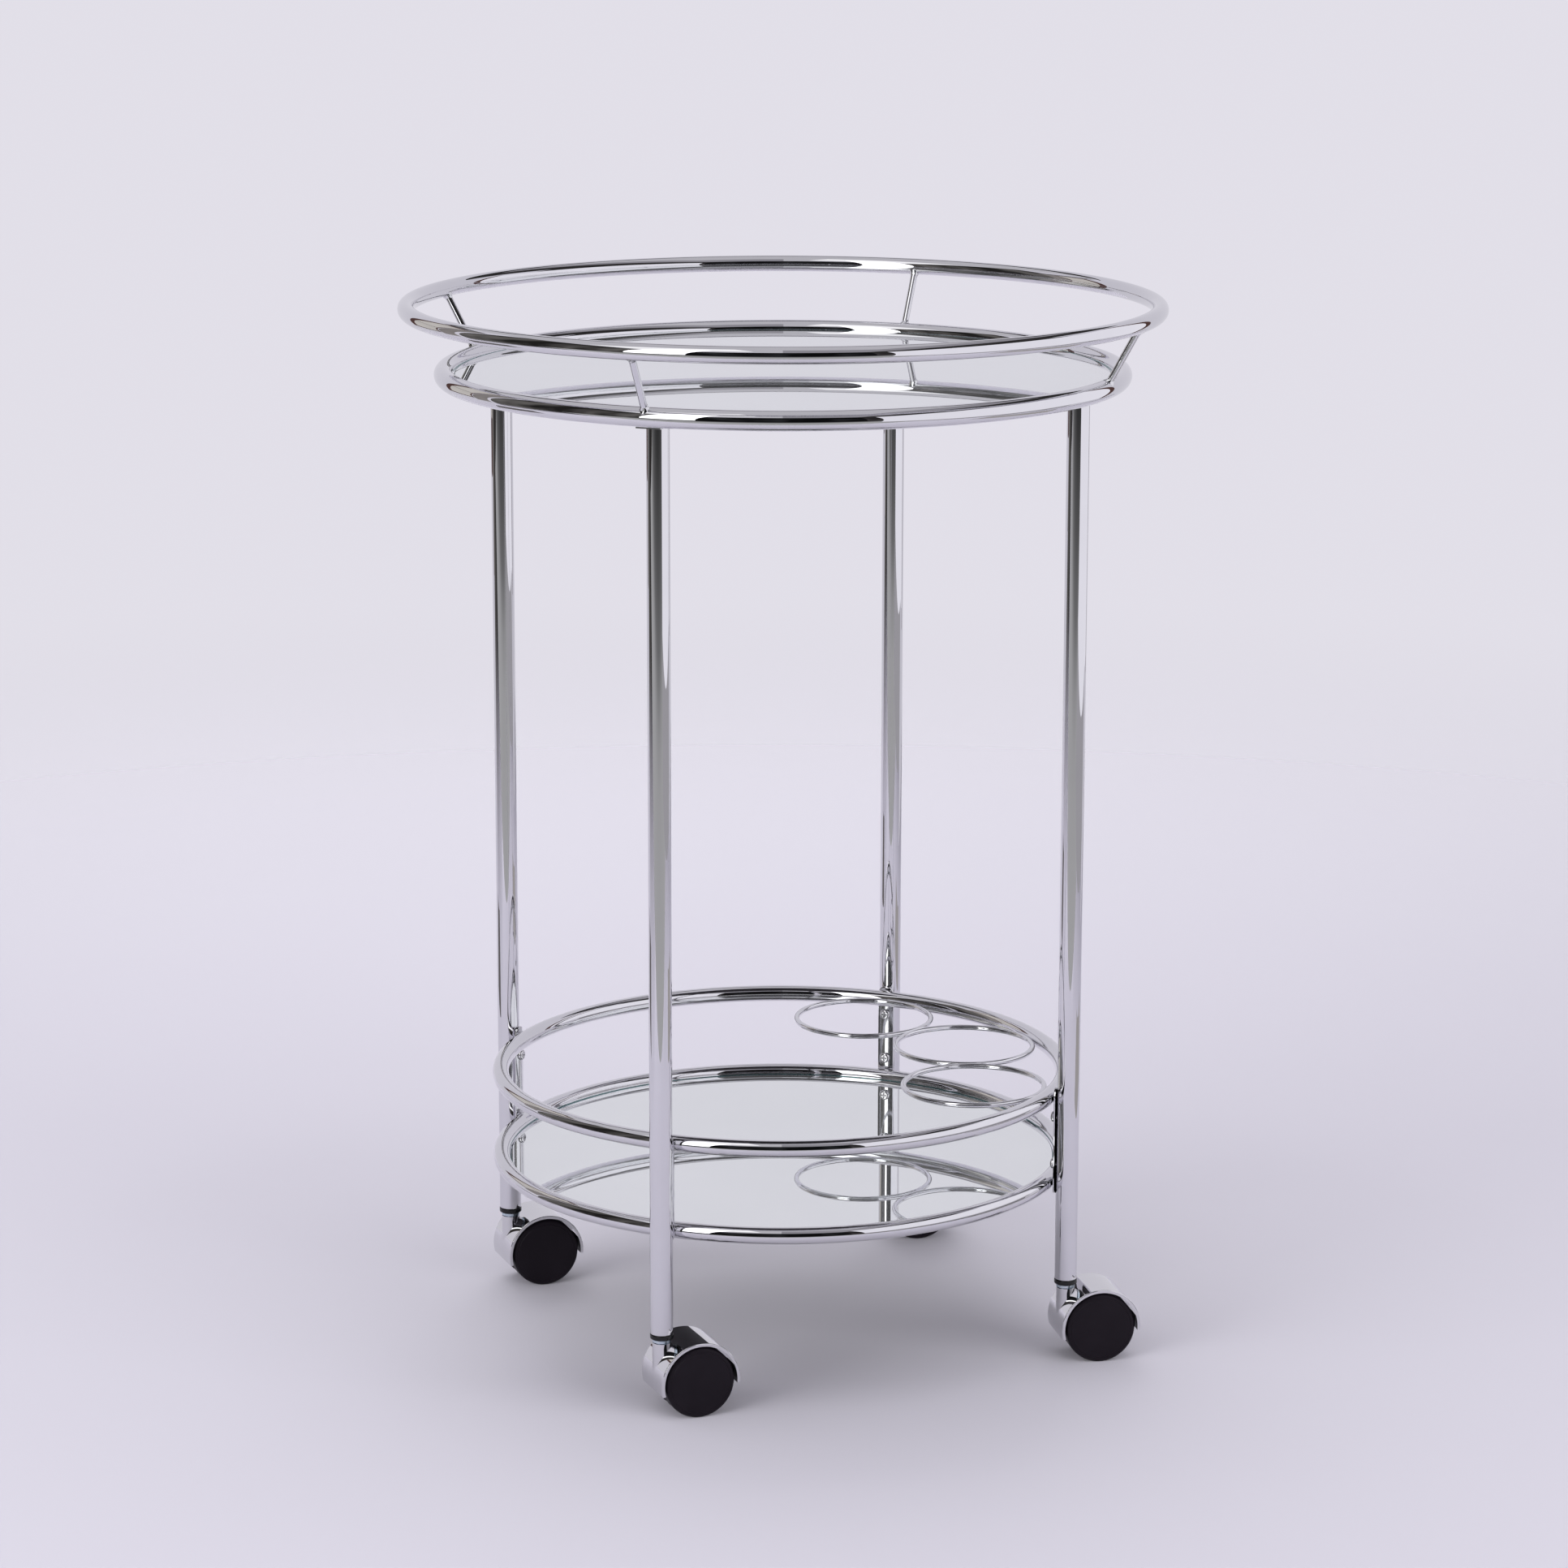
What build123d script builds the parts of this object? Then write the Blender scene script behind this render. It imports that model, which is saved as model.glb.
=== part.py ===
from build123d import *
import math
import os

# Round two-tier bar cart, in millimetres. +Z is up, the origin is on the floor on the cart's
# own axis, and the middle bottle ring points along +X.

# ---------------------------------------------------------------- driving dimensions
# Legs
LEG_ANGLES = [45.0, 135.0, 225.0, 315.0]
LEG_CIRCLE_R = 222.0
LEG_D = 16.0
LEG_WALL = 1.2
LEG_BOTTOM_Z = 59.0

# Handrail and the four slanted rods that carry it
HANDRAIL_R = 267.0
HANDRAIL_D = 12.0
HANDRAIL_Z = 754.0
STRUT_D = 5.0

# Upper tray: welded ring, mirror, backing board, and a flat lug over each leg
TOP_RING_R = 241.0
TOP_RING_D = 14.0
TOP_RING_Z = 707.0
TOP_MIRROR_FACE_Z = 707.5
TOP_MIRROR_T = 4.0
TOP_BACKING_T = 2.0
LUG_T = 3.0
LUG_W = 18.0
LUG_INNER_R = 208.0
LUG_OUTER_R = 238.5
LUG_CORNER_R = 6.0

# Lower tray: two equal rings held apart by a bracket at each leg
LOWER_RING_R = 206.4
LOWER_RING_D = 12.0
GALLERY_Z = 193.5
LOWER_RING_Z = 130.5
LOWER_MIRROR_FACE_Z = 129.5
LOWER_MIRROR_T = 3.0
LOWER_BACKING_T = 1.5
TAB_T = 1.5
TAB_W = 16.0
TAB_INNER_R = 172.0
TAB_OUTER_R = 205.0
TAB_CORNER_R = 5.0
TAB_ANGLES = [0.0, 90.0, 180.0, 270.0]

RING_WALL = 1.2
MIRROR_GAP = 0.4
MIRROR_BEVEL = 0.8

# Brackets between the lower rings and the legs
BRACKET_W = 12.5
BRACKET_T = 2.0
BRACKET_CROWN_R = 18.0
BRACKET_EDGE_ROUND = 0.4
BRACKET_OVERHANG = 8.0
BRACKET_SCREW_INSET = 14.0
WELD_SEAT = 0.3

# Bottle rings
BOTTLE_RING_OD = 106.0
BOTTLE_WIRE_D = 4.0
BOTTLE_RING_COUNT = 3
WELD_GAP = 0.02

# Screws
BRACKET_SCREW_D = 4.0
BRACKET_SCREW_HEAD_D = 8.0
BRACKET_SCREW_HEAD_H = 2.6
BRACKET_SCREW_HEAD_ROUND = 1.6
BRACKET_SCREW_L = 12.0
BRACKET_SCREW_RECESS_W = 4.4
BRACKET_SCREW_SEAT = 0.15
LUG_SCREW_D = 6.0
LUG_SCREW_HEAD_D = 11.0
LUG_SCREW_HEAD_H = 2.5
LUG_SCREW_L = 20.0
LUG_SCREW_RECESS_W = 6.0
RECESS_DEPTH = 1.5
RECESS_ARM_RATIO = 0.24
RECESS_TAPER = 18.0
INSERT_L = 24.0
FIT_GAP = 0.05

# Casters
AXLE_Z = 25.5
WHEEL_D = 51.0
WHEEL_INNER_FACE = 7.2
WHEEL_OUTER_FACE = 20.0
WHEEL_RIM_ROUND = 2.4
WHEEL_INNER_CHAMFER = 0.6
WHEEL_STEP_R = 22.0
WHEEL_STEP_H = 0.4
WHEEL_HUB_R = 7.0
WHEEL_RIM_T = 3.0
WHEEL_RECESS_DEPTH = 6.0
CASTER_TRAIL = 21.8
CASTER_HEADINGS = [-23.0, -2.0, -1.0, -11.0]
HOOD_R = 29.3
HOOD_WALL = 2.2
HOOD_W = 41.0
HOOD_FRONT_ANGLE = -5.5
HOOD_BACK_ANGLE = 194.0
HOOD_EDGE_ROUND = 0.6
WEB_W = 13.3
WEB_FRONT_ANGLE = 25.0
WEB_HUB_R = 8.0
BOSS_D = 13.3
BOSS_TOP_Z = 52.5
BOSS_BOTTOM_Z = 27.0
AXLE_D = 5.0
AXLE_L = 34.0
AXLE_END_GAP = 0.5
STEM_D = 8.0
STEM_TIP_CHAMFER = 1.2
STEM_FLANGE_D = 13.4
STEM_FLANGE_CHAMFER = 0.6
STEM_BOTTOM_Z = 31.0
STEM_TOP_Z = 86.0
SOCKET_FLANGE_D = 16.6
SOCKET_FLANGE_ROUND = 0.8
SOCKET_SLEEVE_OVERLAP = 1.0
SOCKET_FLANGE_BOTTOM_Z = 55.5
SOCKET_TOP_Z = 89.0

# ---------------------------------------------------------------- derived dimensions
TOP_BACKING_BOTTOM_Z = TOP_MIRROR_FACE_Z - TOP_MIRROR_T - TOP_BACKING_T
LEG_TOP_Z = TOP_BACKING_BOTTOM_Z - LUG_T
LEG_BORE_R = LEG_D / 2 - LEG_WALL
LOWER_BACKING_TOP_Z = LOWER_MIRROR_FACE_Z - LOWER_MIRROR_T
LOWER_BACKING_BOTTOM_Z = LOWER_BACKING_TOP_Z - LOWER_BACKING_T
RING_OUTER_R = LOWER_RING_R + LOWER_RING_D / 2
RING_INNER_R = LOWER_RING_R - LOWER_RING_D / 2
BRACKET_FACE_R = RING_OUTER_R - WELD_SEAT
BRACKET_SEAT_R = BRACKET_FACE_R + BRACKET_SCREW_SEAT
BRACKET_BOTTOM_Z = LOWER_RING_Z - BRACKET_OVERHANG
BRACKET_TOP_Z = GALLERY_Z + BRACKET_OVERHANG
BRACKET_SCREW_HEIGHTS = [LOWER_RING_Z + BRACKET_SCREW_INSET, GALLERY_Z - BRACKET_SCREW_INSET]
BOTTLE_RING_R = (BOTTLE_RING_OD - BOTTLE_WIRE_D) / 2
BOTTLE_CIRCLE_R = RING_INNER_R - BOTTLE_RING_OD / 2 - WELD_GAP
BOTTLE_STEP_ANGLE = 2 * math.degrees(math.asin((BOTTLE_RING_OD + WELD_GAP) / 2 / BOTTLE_CIRCLE_R))
TOP_GLASS_R = TOP_RING_R - TOP_RING_D / 2 - MIRROR_GAP
LOWER_GLASS_R = RING_INNER_R - MIRROR_GAP

ON_BASE = (Align.CENTER, Align.CENTER, Align.MIN)


# ---------------------------------------------------------------- helpers
def tube_ring(radius, tube_d, z):
    """A ring bent from round tube, hollow inside."""
    return Pos(0, 0, z) * (Torus(radius, tube_d / 2) - Torus(radius, tube_d / 2 - RING_WALL))


def solid_ring(radius, tube_d, z):
    """The full outside of a ring, used to cut a seat for it."""
    return Pos(0, 0, z) * Torus(radius, tube_d / 2)


def upright(radius, bottom_z, top_z):
    """A round bar standing on the Z axis."""
    return Pos(0, 0, bottom_z) * Cylinder(radius, top_z - bottom_z, align=ON_BASE)


def rod(start, end, diameter):
    """A round rod between two points."""
    path = Vector(*end) - Vector(*start)
    return Plane(origin=start, z_dir=path) * Cylinder(diameter / 2, path.length, align=ON_BASE)


def around(angle, shape):
    """Turns a shape about the cart's axis."""
    return Rot(0, 0, angle) * shape


def out_from_axis(radius, z, outward=1):
    """A plane whose normal runs along X, at the given distance from the cart's axis."""
    return Plane(origin=(radius, 0, z), x_dir=(0, 0, 1), z_dir=(outward, 0, 0))


def phillips_recess(width):
    """A tapered cross, its mouth on the XY plane, cutting down."""
    arm = extrude(Rectangle(width, width * RECESS_ARM_RATIO), amount=-RECESS_DEPTH, taper=RECESS_TAPER)
    return arm + Rot(0, 0, 90) * arm


def together(shapes):
    """Separate solids written as one node."""
    return Compound(children=list(shapes))


# ---------------------------------------------------------------- upper tier
def rail_strut(angle):
    """A rod from the upper tray ring to the handrail, cut to sit against both tubes."""
    strut = rod((TOP_RING_R, 0, TOP_RING_Z), (HANDRAIL_R, 0, HANDRAIL_Z), STRUT_D)
    strut -= solid_ring(TOP_RING_R, TOP_RING_D, TOP_RING_Z)
    strut -= solid_ring(HANDRAIL_R, HANDRAIL_D, HANDRAIL_Z)
    return around(angle, strut)


def glass_disc(radius, top_z, thickness):
    """A mirror with a ground bevel round its top edge."""
    disc = upright(radius, top_z - thickness, top_z)
    rim = disc.edges().filter_by(GeomType.CIRCLE).sort_by(Axis.Z)[-1]
    return chamfer(rim, MIRROR_BEVEL)


def leg_lug(angle):
    """A flat bar welded under the upper tray ring, countersunk over the leg."""
    length = LUG_OUTER_R - LUG_INNER_R
    bar = Pos(LUG_INNER_R, 0, LEG_TOP_Z) * Box(
        length, LUG_W, LUG_T, align=(Align.MIN, Align.CENTER, Align.MIN)
    )
    inner_corners = bar.edges().filter_by(Axis.Z).sort_by(Axis.X)[:2]
    bar = fillet(inner_corners, LUG_CORNER_R)
    bar -= solid_ring(TOP_RING_R, TOP_RING_D, TOP_RING_Z)
    bar -= Pos(LEG_CIRCLE_R, 0, 0) * lug_screw_outline(2 * FIT_GAP)
    return around(angle, bar)


def lug_screw_outline(gap):
    """The countersunk screw's outside, grown by a gap, without its drive recess."""
    top_z = LEG_TOP_Z + LUG_T
    shank_r = LUG_SCREW_D / 2 + gap
    head = Pos(0, 0, top_z - LUG_SCREW_HEAD_H) * Cone(
        shank_r, LUG_SCREW_HEAD_D / 2 + gap, LUG_SCREW_HEAD_H, align=ON_BASE
    )
    return head + upright(shank_r, top_z - LUG_SCREW_L, top_z - LUG_SCREW_HEAD_H)


def lug_screw(angle):
    """Countersunk screw through the lug into the leg's insert."""
    recess = Pos(0, 0, LEG_TOP_Z + LUG_T) * phillips_recess(LUG_SCREW_RECESS_W)
    return around(angle, Pos(LEG_CIRCLE_R, 0, 0) * (lug_screw_outline(0) - recess))


# ---------------------------------------------------------------- legs
def leg(angle):
    """Straight tube with two threaded holes for the bracket screws in its inner wall."""
    tube = upright(LEG_D / 2, LEG_BOTTOM_Z, LEG_TOP_Z) - upright(LEG_BORE_R, LEG_BOTTOM_Z, LEG_TOP_Z)
    for z in BRACKET_SCREW_HEIGHTS:
        hole = rod((-LEG_D, 0, z), (0, 0, z), BRACKET_SCREW_D + 2 * FIT_GAP)
        tube -= hole
    return around(angle, Pos(LEG_CIRCLE_R, 0, 0) * tube)


def leg_insert(angle):
    """Threaded plug in the top of a leg."""
    plug = upright(LEG_BORE_R - FIT_GAP, LEG_TOP_Z - INSERT_L, LEG_TOP_Z)
    plug -= upright(LUG_SCREW_D / 2 + FIT_GAP, LEG_TOP_Z - INSERT_L, LEG_TOP_Z)
    return around(angle, Pos(LEG_CIRCLE_R, 0, 0) * plug)


# ---------------------------------------------------------------- lower tier
def tray_bracket(angle):
    """Round-ended bar, crowned on its inner face, between the lower rings and a leg."""
    height = BRACKET_TOP_Z - BRACKET_BOTTOM_Z
    middle_z = (BRACKET_TOP_Z + BRACKET_BOTTOM_Z) / 2
    plate = extrude(out_from_axis(BRACKET_FACE_R, middle_z) * SlotOverall(height, BRACKET_W), BRACKET_T)
    crown_axis = Pos(BRACKET_FACE_R + BRACKET_CROWN_R, 0, 0)
    plate &= crown_axis * upright(BRACKET_CROWN_R, BRACKET_BOTTOM_Z, BRACKET_TOP_Z)
    inner_rim = plate.faces().sort_by(Axis.X)[0].edges()
    plate = fillet(inner_rim, BRACKET_EDGE_ROUND)
    plate -= solid_ring(LOWER_RING_R, LOWER_RING_D, LOWER_RING_Z)
    plate -= solid_ring(LOWER_RING_R, LOWER_RING_D, GALLERY_Z)
    plate -= Pos(LEG_CIRCLE_R, 0, 0) * upright(LEG_D / 2, LEG_BOTTOM_Z, LEG_TOP_Z)
    for z in BRACKET_SCREW_HEIGHTS:
        plate -= rod((BRACKET_FACE_R - 1, 0, z), (LEG_CIRCLE_R, 0, z), BRACKET_SCREW_D + 4 * FIT_GAP)
        plate -= rod((BRACKET_FACE_R - 1, 0, z), (BRACKET_SEAT_R, 0, z), BRACKET_SCREW_HEAD_D + 2 * FIT_GAP)
    return around(angle, plate)


def bracket_screw(angle, z):
    """Pan head cross recess screw, its head in a shallow seat in the bracket's inner face."""
    top_r = BRACKET_SEAT_R - BRACKET_SCREW_HEAD_H
    head = rod((BRACKET_SEAT_R, 0, z), (top_r, 0, z), BRACKET_SCREW_HEAD_D)
    head_rim = head.faces().sort_by(Axis.X)[0].edges()
    head = fillet(head_rim, BRACKET_SCREW_HEAD_ROUND)
    shank = rod((BRACKET_SEAT_R, 0, z), (BRACKET_SEAT_R + BRACKET_SCREW_L, 0, z), BRACKET_SCREW_D)
    recess = out_from_axis(top_r, z, -1) * phillips_recess(BRACKET_SCREW_RECESS_W)
    return around(angle, head + shank - recess)


def tray_tab(angle):
    """Flat tab welded under the lower tray ring, which the mirror and its backing rest on."""
    length = TAB_OUTER_R - TAB_INNER_R
    tab = Pos(TAB_INNER_R, 0, LOWER_BACKING_BOTTOM_Z - TAB_T) * Box(
        length, TAB_W, TAB_T, align=(Align.MIN, Align.CENTER, Align.MIN)
    )
    inner_corners = tab.edges().filter_by(Axis.Z).sort_by(Axis.X)[:2]
    tab = fillet(inner_corners, TAB_CORNER_R)
    return around(angle, tab - solid_ring(LOWER_RING_R, LOWER_RING_D, LOWER_RING_Z))


def bottle_ring(step):
    """Wire hoop lying against the inside of the gallery ring."""
    hoop = Torus(BOTTLE_RING_R, BOTTLE_WIRE_D / 2)
    return around(step * BOTTLE_STEP_ANGLE, Pos(BOTTLE_CIRCLE_R, 0, GALLERY_Z) * hoop)


# ---------------------------------------------------------------- casters
# A caster is drawn at the origin with its stem on the Z axis and its wheels behind, along +X.
AXLE_PLANE = Plane(origin=(CASTER_TRAIL, 0, AXLE_Z), x_dir=(1, 0, 0), z_dir=(0, -1, 0))


def place_caster(index, shape):
    """Turns a caster to its heading and puts it under its leg."""
    angle = math.radians(LEG_ANGLES[index])
    centre = Pos(LEG_CIRCLE_R * math.cos(angle), LEG_CIRCLE_R * math.sin(angle), 0)
    return centre * Rot(0, 0, CASTER_HEADINGS[index]) * shape


def sector(outer_r, inner_r, start_angle, end_angle):
    """Part of a flat ring between two angles."""
    sweep = end_angle - start_angle
    outer = CenterArc((0, 0), outer_r, start_angle, sweep)
    if inner_r == 0:
        sides = [Line(outer @ 1, (0, 0)), Line((0, 0), outer @ 0)]
        return make_face([outer] + sides)
    inner = CenterArc((0, 0), inner_r, start_angle, sweep)
    return make_face([outer, inner, Line(outer @ 0, inner @ 0), Line(outer @ 1, inner @ 1)])


def caster_hood():
    """Hood over both wheels, with the web between them and the boss for the stem."""
    shell = extrude(AXLE_PLANE * sector(HOOD_R, HOOD_R - HOOD_WALL, HOOD_FRONT_ANGLE, HOOD_BACK_ANGLE),
                    HOOD_W / 2, both=True)
    outer_rims = shell.edges().filter_by(GeomType.CIRCLE).filter_by(
        lambda edge: abs(edge.radius - HOOD_R) < 0.01
    )
    shell = fillet(outer_rims, HOOD_EDGE_ROUND)
    web_r = HOOD_R - HOOD_WALL / 2
    web = extrude(AXLE_PLANE * sector(web_r, 0, WEB_FRONT_ANGLE, HOOD_BACK_ANGLE), WEB_W / 2, both=True)
    hub = extrude(AXLE_PLANE * Circle(WEB_HUB_R), WEB_W / 2, both=True)
    hood = shell + web + hub + upright(BOSS_D / 2, BOSS_BOTTOM_Z, BOSS_TOP_Z)
    hood -= upright(STEM_D / 2 + FIT_GAP, STEM_BOTTOM_Z - FIT_GAP, BOSS_TOP_Z)
    return hood - extrude(AXLE_PLANE * Circle(AXLE_D / 2 + FIT_GAP / 2), WEB_W, both=True)


def caster_axle():
    """Plain pin through the web, carrying a wheel on each end."""
    return extrude(AXLE_PLANE * Circle(AXLE_D / 2), AXLE_L / 2, both=True)


def caster_wheel(side):
    """One of the twin wheels, flat outside with a fine raised step, hollowed inside."""
    wheel_r = WHEEL_D / 2
    rim_y = WHEEL_OUTER_FACE - WHEEL_STEP_H
    points = [
        (0, WHEEL_INNER_FACE),
        (wheel_r - WHEEL_INNER_CHAMFER, WHEEL_INNER_FACE),
        (wheel_r, WHEEL_INNER_FACE + WHEEL_INNER_CHAMFER),
        (wheel_r, rim_y - WHEEL_RIM_ROUND),
    ]
    round_end = (wheel_r - WHEEL_RIM_ROUND, rim_y)
    outline = Polyline(*points)
    rim_round = RadiusArc(points[-1], round_end, -WHEEL_RIM_ROUND)
    face = Polyline(
        round_end,
        (WHEEL_STEP_R + WHEEL_STEP_H, rim_y),
        (WHEEL_STEP_R, WHEEL_OUTER_FACE),
        (0, WHEEL_OUTER_FACE),
        (0, WHEEL_INNER_FACE),
    )
    profile = make_face([outline, rim_round, face])
    wheel = revolve(profile, Axis.Y)
    recess_r = wheel_r - WHEEL_RIM_T
    recess = revolve(
        Pos((recess_r + WHEEL_HUB_R) / 2, WHEEL_INNER_FACE + WHEEL_RECESS_DEPTH / 2)
        * Rectangle(recess_r - WHEEL_HUB_R, WHEEL_RECESS_DEPTH),
        Axis.Y,
    )
    bore_end = AXLE_L / 2 + AXLE_END_GAP
    bore = revolve(
        Pos((AXLE_D / 2 + FIT_GAP) / 2, bore_end / 2) * Rectangle(AXLE_D / 2 + FIT_GAP, bore_end),
        Axis.Y,
    )
    wheel = wheel - recess - bore
    if side > 0:
        wheel = Rot(0, 0, 180) * wheel
    return Pos(CASTER_TRAIL, 0, AXLE_Z) * wheel


def caster_stem():
    """Plated pin with a flange, fixed in the socket; the hood swivels about its lower end."""
    flange_bottom = BOSS_TOP_Z + FIT_GAP
    flange = upright(STEM_FLANGE_D / 2, flange_bottom, SOCKET_FLANGE_BOTTOM_Z)
    flange = chamfer(flange.edges().filter_by(GeomType.CIRCLE), STEM_FLANGE_CHAMFER)
    pin = upright(STEM_D / 2, STEM_BOTTOM_Z, STEM_TOP_Z)
    tip = pin.edges().filter_by(GeomType.CIRCLE).sort_by(Axis.Z)[-1]
    return chamfer(tip, STEM_TIP_CHAMFER) + flange


def caster_socket():
    """Plastic plug in the foot of a leg, with a collar under the tube's end."""
    collar = upright(SOCKET_FLANGE_D / 2, SOCKET_FLANGE_BOTTOM_Z, LEG_BOTTOM_Z)
    collar = fillet(collar.edges().filter_by(GeomType.CIRCLE), SOCKET_FLANGE_ROUND)
    sleeve = upright(LEG_BORE_R - FIT_GAP, SOCKET_FLANGE_BOTTOM_Z + SOCKET_SLEEVE_OVERLAP, SOCKET_TOP_Z)
    return collar + sleeve - upright(STEM_D / 2 + FIT_GAP, SOCKET_FLANGE_BOTTOM_Z, SOCKET_TOP_Z)


# ---------------------------------------------------------------- the cart's nodes
def build():
    """Every node of the cart, by name."""
    nodes = {
        "handrail_ring": tube_ring(HANDRAIL_R, HANDRAIL_D, HANDRAIL_Z),
        "top_tray_ring": tube_ring(TOP_RING_R, TOP_RING_D, TOP_RING_Z),
        "gallery_ring": tube_ring(LOWER_RING_R, LOWER_RING_D, GALLERY_Z),
        "lower_tray_ring": tube_ring(LOWER_RING_R, LOWER_RING_D, LOWER_RING_Z),
    }
    nodes["top_mirror"] = glass_disc(TOP_GLASS_R, TOP_MIRROR_FACE_Z, TOP_MIRROR_T)
    nodes["top_mirror_backing"] = upright(
        TOP_GLASS_R, TOP_BACKING_BOTTOM_Z, TOP_BACKING_BOTTOM_Z + TOP_BACKING_T
    )
    nodes["lower_mirror"] = glass_disc(LOWER_GLASS_R, LOWER_MIRROR_FACE_Z, LOWER_MIRROR_T)
    nodes["lower_mirror_backing"] = upright(LOWER_GLASS_R, LOWER_BACKING_BOTTOM_Z, LOWER_BACKING_TOP_Z)
    nodes["lower_tray_tabs"] = together(tray_tab(angle) for angle in TAB_ANGLES)

    for number, angle in enumerate(LEG_ANGLES, start=1):
        nodes[f"leg_{number}"] = leg(angle)
        nodes[f"leg_lug_{number}"] = leg_lug(angle)
        nodes[f"rail_strut_{number}"] = rail_strut(angle)
        nodes[f"tray_bracket_{number}"] = tray_bracket(angle)
    nodes["leg_inserts"] = together(leg_insert(angle) for angle in LEG_ANGLES)
    nodes["lug_screws"] = together(lug_screw(angle) for angle in LEG_ANGLES)
    nodes["bracket_screws"] = together(
        bracket_screw(angle, z) for angle in LEG_ANGLES for z in BRACKET_SCREW_HEIGHTS
    )

    first_step = -(BOTTLE_RING_COUNT - 1) / 2
    for index in range(BOTTLE_RING_COUNT):
        nodes[f"bottle_ring_{index + 1}"] = bottle_ring(first_step + index)

    caster_parts = {
        "caster_socket": caster_socket(),
        "caster_stem": caster_stem(),
        "caster_hood": caster_hood(),
        "caster_axle": caster_axle(),
        "caster_wheel_left": caster_wheel(-1),
        "caster_wheel_right": caster_wheel(1),
    }
    for index in range(len(LEG_ANGLES)):
        for name, shape in caster_parts.items():
            nodes[f"{name}_{index + 1}"] = place_caster(index, shape)
    return nodes


os.makedirs("parts", exist_ok=True)
for node_name, node_shape in build().items():
    export_step(node_shape, f"parts/{node_name}.step")
    print(node_name, round(node_shape.volume, 1))
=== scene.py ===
import math

import bmesh
import bpy
from mathutils import Matrix, Vector, noise


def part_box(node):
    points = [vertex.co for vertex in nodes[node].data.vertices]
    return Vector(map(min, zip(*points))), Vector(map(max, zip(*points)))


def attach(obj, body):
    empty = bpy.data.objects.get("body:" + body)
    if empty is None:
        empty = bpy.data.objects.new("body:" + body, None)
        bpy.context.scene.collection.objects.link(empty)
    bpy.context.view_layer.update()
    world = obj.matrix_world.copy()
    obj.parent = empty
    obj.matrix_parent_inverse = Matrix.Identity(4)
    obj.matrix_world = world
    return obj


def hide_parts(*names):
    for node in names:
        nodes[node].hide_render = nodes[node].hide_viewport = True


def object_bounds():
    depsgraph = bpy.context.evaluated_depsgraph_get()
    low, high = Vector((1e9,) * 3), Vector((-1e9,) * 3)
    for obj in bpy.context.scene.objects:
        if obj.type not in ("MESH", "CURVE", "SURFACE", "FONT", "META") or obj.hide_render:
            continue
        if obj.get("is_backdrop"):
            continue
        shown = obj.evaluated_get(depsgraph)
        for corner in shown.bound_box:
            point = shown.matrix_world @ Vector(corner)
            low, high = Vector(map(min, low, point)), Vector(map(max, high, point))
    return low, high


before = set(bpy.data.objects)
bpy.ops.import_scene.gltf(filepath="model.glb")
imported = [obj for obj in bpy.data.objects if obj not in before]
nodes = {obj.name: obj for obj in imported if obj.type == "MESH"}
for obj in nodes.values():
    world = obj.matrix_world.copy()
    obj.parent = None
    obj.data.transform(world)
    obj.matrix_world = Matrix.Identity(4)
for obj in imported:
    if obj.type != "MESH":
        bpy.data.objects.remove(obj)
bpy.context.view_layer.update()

CART = "cart_frame"
LEG_NUMBERS = (1, 2, 3, 4)
BOTTLE_RING_NUMBERS = (1, 2, 3)
MM = 0.001
UP = Vector((0, 0, 1))


# ---------------------------------------------------------------- materials


def colour_ramp(tree, value, stops):
    """Colours over a value: stops holds (place, colour) pairs in order."""
    node = tree.nodes.new("ShaderNodeValToRGB")
    first, last = stops[0], stops[-1]
    ends = node.color_ramp.elements
    ends[0].position, ends[0].color = first[0], (*first[1], 1)
    ends[1].position, ends[1].color = last[0], (*last[1], 1)
    for place, colour in stops[1:-1]:
        ends.new(place).color = (*colour, 1)
    tree.links.new(value, node.inputs["Fac"])
    return node.outputs["Color"]


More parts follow.
